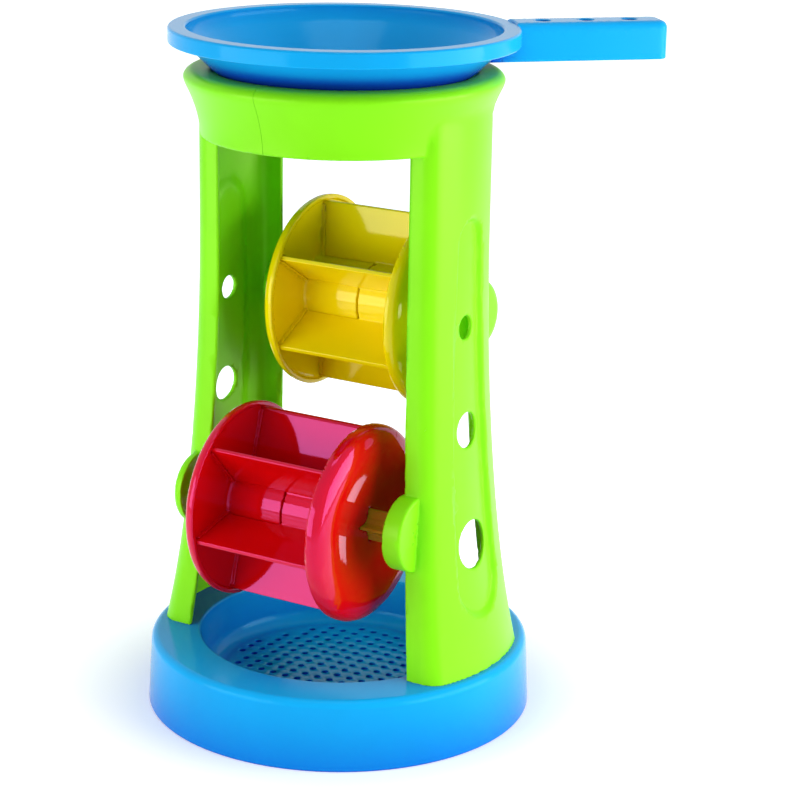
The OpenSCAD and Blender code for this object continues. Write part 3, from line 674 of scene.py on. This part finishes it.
def add_pegs(mesh, g):
    """Adds the two pegs that stand out of the right half's seam."""
    peg_y, peg_z = peg_centre(g)
    tip = PEG / 4
    work = bmesh.new()
    work.from_mesh(mesh)
    for side in (-1, 1):
        rings = [[work.verts.new((x, side * peg_y + a, peg_z + b)) for a, b in circle(r, HOLE_SIDES)]
                 for x, r in ((g.seam, PEG), (tip - PEG_LENGTH, PEG), (-PEG_LENGTH, PEG - tip))]
        for first, second in zip(rings, rings[1:]):
            for number in range(HOLE_SIDES):
                after = (number + 1) % HOLE_SIDES
                work.faces.new((first[number], second[number], second[after], first[after]))
        work.faces.new(rings[-1])
    work.to_mesh(mesh)
    work.free()


def cup_fields(g, axle, cap, depth, trim, y, z):
    """The outside, the space and the bearing sleeve of one cup, as functions of X.

    A cup with a trim is that much shorter at its closed end, and its rounding there is that small.
    """
    reach = np.hypot(y, z)
    size = g.cup_round * depth
    bore = axle.journal + JOURNAL_CLEAR

    def outside(x):
        return meet(meet(reach - g.cup, x - cap + trim, trim or size), cap - depth - x, g.rim / 2)

    def space(x):
        return meet(reach - g.cup + g.cup_wall, x - cap + g.cup_wall, size - g.cup_wall)

    def sleeve(x):
        tube = meet(meet(reach - bore - g.sleeve, bore - reach), x - cap + g.cup_wall / 2)
        return meet(tube, cap - g.cup_wall - axle.journal_length - x, g.rim / 2)

    return outside, space, sleeve


def frame_field(g, pan, axle, deck, right):
    """One half of the frame: a column, half the collar and two bearing cups, the left one mirrored."""
    side, depth = (1.0, g.right_cup) if right else (-1.0, g.left_cup)
    reach, shorter = (0.0, g.cup_trim) if right else (g.left_reach, 0.0)
    cups = [(AXLES["lower_wheel"], g.lower_cap + reach, shorter), (AXLES["upper_wheel"], g.upper_cap, 0.0)]
    peg_y, peg_z = peg_centre(g)

    def field(x, y, z):
        x = side * x
        body = join(column_field(g, deck, x, y, z), collar_field(g, pan, x, y, z), g.crease)
        body = join(body, tabs_field(g, deck, x, y, z))
        pegs = np.abs(y) - peg_y
        post = block(x, pegs, z - peg_z, (-PEG_BLOCK, -PEG_BLOCK / 2, -PEG_BLOCK / 2),
                     (2 * PEG_BLOCK, PEG_BLOCK / 2, PEG_BLOCK / 2), g.rim)
        post = meet(post, np.hypot(x, y) - g.collar_foot + g.wall / 2)
        body = join(body, post)
        for (cup_y, cup_z), cap, trim in cups:
            outside, space, sleeve = cup_fields(g, axle, cap, depth, trim, y - cup_y, z - cup_z)
            body = join(body, outside(x), g.cup_crease)
            body = join(cut(body, space(x), g.rim / 2), sleeve(x))
        if not right:
            body = cut(body, meet(np.hypot(pegs, z - peg_z) - PEG - g.seam, x - PEG_LENGTH - g.seam))
        return body

    return field


def cone_run(g):
    """How far the pan's cone widens for each unit of height."""
    return (g.seat - g.floor_radius - g.wall) / (g.collar_top - g.floor)


def pan_chain(g):
    """Profile of the pan from its outlet over the bowl, the ring, the skirt and back under the cone."""
    run = cone_run(g)
    skin = g.wall * math.hypot(1.0, run)

    def cone(z):
        return g.seat + (z - g.collar_top) * run

    throat, floor, under = g.radius - g.ring, g.floor + g.wall, g.top - g.wall
    spout = g.outlet + g.wall
    throat_foot = g.collar_top + (throat + skin - g.seat) / run
    return rounded([
        (g.outlet, floor, g.edge), (cone(floor) - skin, floor, g.floor_round),
        (throat, throat_foot, g.throat_round), (throat, g.top, g.throat_edge),
        (g.radius, g.top, g.wall / 2), (g.radius, g.top - g.skirt, g.edge),
        (g.radius - g.wall, g.top - g.skirt, g.edge), (g.radius - g.wall, under, g.wall / 2),
        (cone(under), under, g.wall / 2), (cone(g.floor), g.floor, g.wall), (spout, g.floor, g.wall / 2),
        (spout, g.floor - g.spout, g.edge), (g.outlet, g.floor - g.spout, g.edge)])


def pan_mesh(g):
    """Vertices, faces and profile of the pan without its handle."""
    chain = pan_chain(g)
    points = [(x, y, place.y) for place, _ in chain for x, y in circle(place.x, PAN_SIDES)]
    faces = []
    for ring in range(len(chain)):
        faces += band(ring * PAN_SIDES, (ring + 1) % len(chain) * PAN_SIDES, PAN_SIDES)
    return points, faces, chain


def handle_field(g):
    """The pan's handle, hollow underneath. Its root ends inside the cone, the ring and the skirt."""
    top_z = g.top + g.rise
    run = cone_run(g)
    slant = math.hypot(1.0, run)
    cos_turn, sin_turn = math.cos(g.handle_turn), math.sin(g.handle_turn)

    def field(x, y, z):
        r = np.hypot(x, y)
        cone = (r - g.seat - (z - g.collar_top) * run) / slant
        along, across = x * cos_turn + y * sin_turn, np.abs(y * cos_turn - x * sin_turn)
        plan = meet(across - g.width / 2, along - g.reach, g.corner)
        outer = meet(meet(plan, z - top_z, g.bevel), top_z - g.height - z, g.edge)
        inner_plan = meet(across - g.width / 2 + g.wall, along - g.reach + g.wall, g.corner - g.wall)
        hollow = meet(inner_plan, z - top_z + g.wall, g.wall / 2)
        body = meet(meet(cut(outer, hollow, g.edge), g.seat - along), -cone - g.wall / 2)
        body = cut(body, meet(r - g.radius + g.wall / 2, g.top - g.wall / 2 - z))
        for number in range(HANDLE_HOLES):
            hole = np.hypot(along - g.last_hole + number * g.pitch, across) - g.hole
            body = cut(body, meet(hole, top_z - 2 * g.wall - z), g.edge)
        return body

    return field


def fluted(g, y, z, grow):
    """Section of the axle: a round bar with four round flutes, grown by a clearance."""
    reach, turn = np.hypot(y, z), np.arctan2(z, y)
    turn = (turn % (math.pi / 2)) - math.pi / 4
    flutes = np.hypot(reach * np.cos(turn) - g.flute_reach, reach * np.sin(turn)) - g.flute + grow
    return cut(reach - g.axle - grow, flutes, g.flute_edge)


def wheel_field(g, name, right):
    """Half a wheel: a flange with a rim and a hub. The right half has the blades, the left their guides."""
    axle_y, axle_z = AXLES[name]
    side = 1.0 if right else -1.0
    first = g.lower_turn if name == "lower_wheel" else g.upper_turn
    split = side * g.split + g.gap / 2
    lip_height, lip = g.flange - g.lip, g.right_lip if right else g.lip
    crown, rim_edge, fall = (g.right_crown, g.right_edge, g.fall) if right else (g.crown, g.rim_edge, 0.0)
    if right and name == "upper_wheel":
        crown -= g.upper_drop
    cavity_r, boss_r, rim_r = g.hub - g.hub_wall, g.axle + g.hub_wall, g.radius - g.rim
    spacing = 2 * math.pi / BLADES

    def bucket(x, reach):
        return meet(meet(g.hub - reach, x - g.flange, g.fillet), reach - rim_r, lip_height / 2)

    def field(x, y, z):
        x, dy, dz = side * x, y - axle_y, z - axle_z
        reach = np.hypot(dy, dz)
        face = g.dish + (crown - g.dish) * ease((reach - g.dish_floor) / (g.peak - g.dish_floor))
        face = face - fall * (np.maximum(reach - g.peak, 0.0) / (g.radius - g.peak)) ** 2
        outer = meet(reach - g.radius, x - face, rim_edge)
        outside = meet(x - lip, g.hub + g.fillet - reach)
        body = cut(outer, join(bucket(x, reach), outside, g.edge), g.edge)
        boss = meet(reach - boss_r, g.flange - g.boss - x, g.edge)
        cavity = cut(meet(reach - cavity_r, x - g.dish + 2 * g.hub_wall, g.edge), boss)
        body = cut(meet(body, split - x, SPLIT_EDGE * g.edge), cavity, g.edge / 2)
        turn = np.arctan2(dz, dy) - first
        turn = turn - np.round(turn / spacing) * spacing
        off = np.abs(reach * np.sin(turn))
        if right:
            blade = meet(meet(off - g.blade / 2, reach - rim_r, BLADE_EDGE * g.edge), x - g.flange - g.edge)
            blade = meet(blade, bucket(-x, reach) - BLADE_SINK, g.edge / 2)
            body = join(body, blade, g.edge)
        else:
            middle = (g.blade + g.guide) / 2
            rib = meet(np.abs(off - middle) - g.guide / 2, g.flange - g.guide_height - x, g.guide / 3)
            rib = meet(rib, reach - rim_r + lip_height, g.guide / 3)
            rib = meet(rib, meet(x - g.flange - g.edge, g.hub - g.edge - reach))
            body = join(body, rib)
            tube = meet(reach - cavity_r + g.clear, cavity_r - g.clear - g.hub_wall - reach)
            body = join(body, meet(tube, np.abs(x - split) - SPIGOT_REACH * g.hub_wall, g.edge / 2))
        return cut(body, fluted(g, dy, dz, g.clear), g.edge / 2)

    return field


def axle_field(g, name, cap, cup_wall):
    """A fluted bar with a round journal at each end."""
    axle_y, axle_z = AXLES[name]
    half = cap - cup_wall - g.float

    def field(x, y, z):
        reach = np.hypot(y - axle_y, z - axle_z)
        bar = meet(fluted(g, y - axle_y, z - axle_z, 0.0), np.abs(x) - half + g.journal_length, g.edge)
        return join(bar, meet(reach - g.journal, np.abs(x) - half, g.edge))

    return field


# Stage


def softbox(name, azimuth, reach, height, size, level):
    """A rectangular lamp at an azimuth from the front, aimed at the toy. level is its light per area."""
    lamp = bpy.data.lights.new(name, "AREA")
    lamp.shape = "RECTANGLE"
    lamp.size, lamp.size_y = size
    lamp.energy = level * size[0] * size[1] * math.pi
    turn = math.radians(azimuth)
    place = Vector((reach * math.sin(turn), -reach * math.cos(turn), height))
    away = (place - Vector(LAMP_TARGET)).to_track_quat("Z", "Y")
    put(name, lamp).matrix_world = Matrix.Translation(place) @ away.to_matrix().to_4x4()


def studio_world():
    """A pale surround: soft fill for the object, and plain white where the camera or a reflection sees it."""
    world = bpy.data.worlds.new("studio_world")
    world.use_nodes = True
    tree = world.node_tree
    link = tree.links.new
    tree.nodes.clear()
    fill = add(tree, "ShaderNodeBackground", Color=FILL_COLOUR, Strength=FILL)
    white = add(tree, "ShaderNodeBackground", Color=(1.0, 1.0, 1.0, 1.0), Strength=1.0)
    mix = add(tree, "ShaderNodeMixShader")
    out = add(tree, "ShaderNodeOutputWorld")
    link(white_rays(tree), mix.inputs["Fac"])
    link(fill.outputs[0], mix.inputs[1])
    link(white.outputs[0], mix.inputs[2])
    link(mix.outputs[0], out.inputs["Surface"])
    bpy.context.scene.world = world


def floor_material(base):
    """Pale floor that keeps the object's shadow and blends into the white surround."""
    material = bpy.data.materials.new("pale_floor")
    material.use_nodes = True
    tree = material.node_tree
    link = tree.links.new
    shader = tree.nodes["Principled BSDF"]
    out = tree.nodes["Material Output"]
    shader.inputs["Base Color"].default_value = (*base, 1.0)
    shader.inputs["Roughness"].default_value = FLOOR_ROUGHNESS
    shader.inputs["Specular IOR Level"].default_value = FLOOR_SHINE
    place = add(tree, "ShaderNodeTexCoord")
    away = add(tree, "ShaderNodeVectorMath", operation="LENGTH")
    link(place.outputs["Object"], away.inputs[0])
    (near, far), (low, high) = GLOW_REACH, GLOW
    fade = add(tree, "ShaderNodeMapRange", From_Min=near, From_Max=far, To_Min=low, To_Max=high)
    link(away.outputs["Value"], fade.inputs["Value"])
    share = add(tree, "ShaderNodeMath", operation="MULTIPLY")
    link(white_rays(tree), share.inputs[0])
    link(fade.outputs["Result"], share.inputs[1])
    glow = add(tree, "ShaderNodeEmission", Color=GLOW_COLOUR)
    link(share.outputs[0], glow.inputs["Strength"])
    both = add(tree, "ShaderNodeAddShader")
    link(shader.outputs[0], both.inputs[0])
    link(glow.outputs[0], both.inputs[1])
    link(both.outputs[0], out.inputs["Surface"])
    return material


class SANDWHEEL_OT_stage(bpy.types.Operator):
    """Adds the floor, the surround, the lamps and the camera."""
    bl_idname = "sandwheel.stage"
    bl_label = "Stage"

    def execute(self, context):
        scene = context.scene
        colours, view = scene.sand_wheel_colours, scene.sand_wheel_view
        mesh = bpy.data.meshes.new("studio_floor")
        mesh.from_pydata([(x, y, 0) for x, y in circle(FLOOR_RADIUS, FLOOR_SIDES)], [],
                         [list(range(FLOOR_SIDES))])
        floor = put("studio_floor", mesh)
        paint(floor, floor_material(colours.floor))
        studio_world()
        for name, settings in LAMPS.items():
            softbox(name, *settings)
        camera = bpy.data.cameras.new("studio_camera")
        camera.lens = view.lens
        camera.sensor_width = 36.0
        camera.clip_end = 50.0
        turn = view.azimuth + view.yaw
        ahead = Vector((-math.sin(turn) * math.cos(view.pitch), math.cos(turn) * math.cos(view.pitch),
                        -math.sin(view.pitch)))
        side = Vector((math.cos(turn), math.sin(turn), 0.0))
        up = side.cross(ahead)
        right = side * math.cos(view.roll) + up * math.sin(view.roll)
        top = up * math.cos(view.roll) - side * math.sin(view.roll)
        place = Vector((view.reach * math.sin(view.azimuth), -view.reach * math.cos(view.azimuth),
                        view.height))
        facing = Matrix((right, top, -ahead)).transposed().to_4x4()
        scene.camera = put("studio_camera", camera)
        scene.camera.matrix_world = Matrix.Translation(place) @ facing
        scene.view_settings.view_transform = "Standard"
        return {"FINISHED"}


def turned_mesh(name, points, faces, chain, sides):
    """A mesh object with its faces turned outward, its turned chain's normals, and other edges by angle."""
    mesh = bpy.data.meshes.new(name)
    mesh.from_pydata(points, [], faces)
    work = bmesh.new()
    work.from_mesh(mesh)
    bmesh.ops.recalc_face_normals(work, faces=work.faces)
    work.to_mesh(mesh)
    work.free()
    mesh.polygons.foreach_set("use_smooth", [True] * len(mesh.polygons))
    mesh.set_sharp_from_angle(angle=SHARP)
    turned_normals(mesh, chain, sides)
    return put(name, mesh)


def hand_over(obj, body, node, slot):
    """Sets a piece's finish, puts it under its body, and hides the node that it stands for."""
    paint(obj, moulded_plastic(slot))
    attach(obj, body)
    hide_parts(node)
    return obj


def mould(name, field, body, node, slot, step, seam=None):
    """Makes one piece from its field, in the box of its node."""
    low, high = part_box(node)
    return hand_over(moulding(name, field, low, high, step, seam), body, node, slot)


class SANDWHEEL_OT_dish(bpy.types.Operator):
    """Makes the sieve dish."""
    bl_idname = "sandwheel.dish"
    bl_label = "Dish"

    def execute(self, context):
        dish = turned_mesh("sieve_dish", *dish_mesh(context.scene.sand_wheel_dish), DISH_SIDES)
        hand_over(dish, "stand", "base", "blue_plastic")
        return {"FINISHED"}


class SANDWHEEL_OT_frame(bpy.types.Operator):
    """Makes both halves of the frame."""
    bl_idname = "sandwheel.frame"
    bl_label = "Frame"

    def execute(self, context):
        scene = context.scene
        sizes, pan, axle = scene.sand_wheel_frame, scene.sand_wheel_pan, scene.sand_wheel_wheels
        for name, side in (("frame_right", 1), ("frame_left", -1)):
            field = frame_field(sizes, pan, axle, scene.sand_wheel_dish.height, side > 0)
            half = mould(name + "_moulding", field, "stand", name, "green_plastic", FINE,
                         (side * sizes.seam / 2, side))
            if side > 0:
                add_pegs(half.data, sizes)
        return {"FINISHED"}


class SANDWHEEL_OT_pan(bpy.types.Operator):
    """Makes the pan with its handle."""
    bl_idname = "sandwheel.pan"
    bl_label = "Pan"

    def execute(self, context):
        sizes = context.scene.sand_wheel_pan
        bowl = turned_mesh("sand_pan", *pan_mesh(sizes), PAN_SIDES)
        hand_over(bowl, "pan", "pan", "blue_plastic")
        mould("sand_pan_handle", handle_field(sizes), "pan", "pan", "blue_plastic", FINE)
        return {"FINISHED"}


class SANDWHEEL_OT_wheels(bpy.types.Operator):
    """Makes both bucket wheels, each from two halves."""
    bl_idname = "sandwheel.wheels"
    bl_label = "Wheels"

    def execute(self, context):
        for wheel, slot in (("lower_wheel", "red_plastic"), ("upper_wheel", "yellow_plastic")):
            for right in (True, False):
                node = wheel + ("_right" if right else "_left")
                field = wheel_field(context.scene.sand_wheel_wheels, wheel, right)
                mould(node + "_half", field, wheel, node, slot, FINER)
        return {"FINISHED"}


class SANDWHEEL_OT_axles(bpy.types.Operator):
    """Makes the fluted axles."""
    bl_idname = "sandwheel.axles"
    bl_label = "Axles"

    def execute(self, context):
        scene = context.scene
        cups = scene.sand_wheel_frame
        for name, cap in (("lower", cups.lower_cap), ("upper", cups.upper_cap)):
            node, wheel = name + "_axle", name + "_wheel"
            field = axle_field(scene.sand_wheel_wheels, wheel, cap, cups.cup_wall)
            mould(node + "_bar", field, wheel, node, "axle_plastic", FINEST)
        return {"FINISHED"}


class SANDWHEEL_PT_panel(bpy.types.Panel):
    """Lists the steps that dress the toy."""
    bl_idname = "SANDWHEEL_PT_panel"
    bl_label = "Sand Wheel"
    bl_space_type = "VIEW_3D"
    bl_region_type = "UI"
    bl_category = "Sand Wheel"

    def draw(self, context):
        for step in OPERATORS:
            self.layout.operator(step.bl_idname)


OPERATORS = (SANDWHEEL_OT_stage, SANDWHEEL_OT_dish, SANDWHEEL_OT_frame, SANDWHEEL_OT_pan, SANDWHEEL_OT_wheels,
             SANDWHEEL_OT_axles)
GROUPS = {
    "sand_wheel_colours": SandWheelColours,
    "sand_wheel_dish": SandWheelDish,
    "sand_wheel_frame": SandWheelFrame,
    "sand_wheel_pan": SandWheelPan,
    "sand_wheel_wheels": SandWheelWheels,
    "sand_wheel_view": SandWheelView,
}


def register():
    for item in (*GROUPS.values(), *OPERATORS, SANDWHEEL_PT_panel):
        bpy.utils.register_class(item)
    for name, group in GROUPS.items():
        setattr(bpy.types.Scene, name, PointerProperty(type=group))


def unregister():
    for name in GROUPS:
        delattr(bpy.types.Scene, name)
    for item in reversed((*GROUPS.values(), *OPERATORS, SANDWHEEL_PT_panel)):
        bpy.utils.unregister_class(item)


def main():
    register()
    bpy.ops.sandwheel.stage()
    bpy.ops.sandwheel.dish()
    bpy.ops.sandwheel.frame()
    bpy.ops.sandwheel.pan()
    bpy.ops.sandwheel.wheels()
    bpy.ops.sandwheel.axles()


if __name__ == "__main__":
    main()
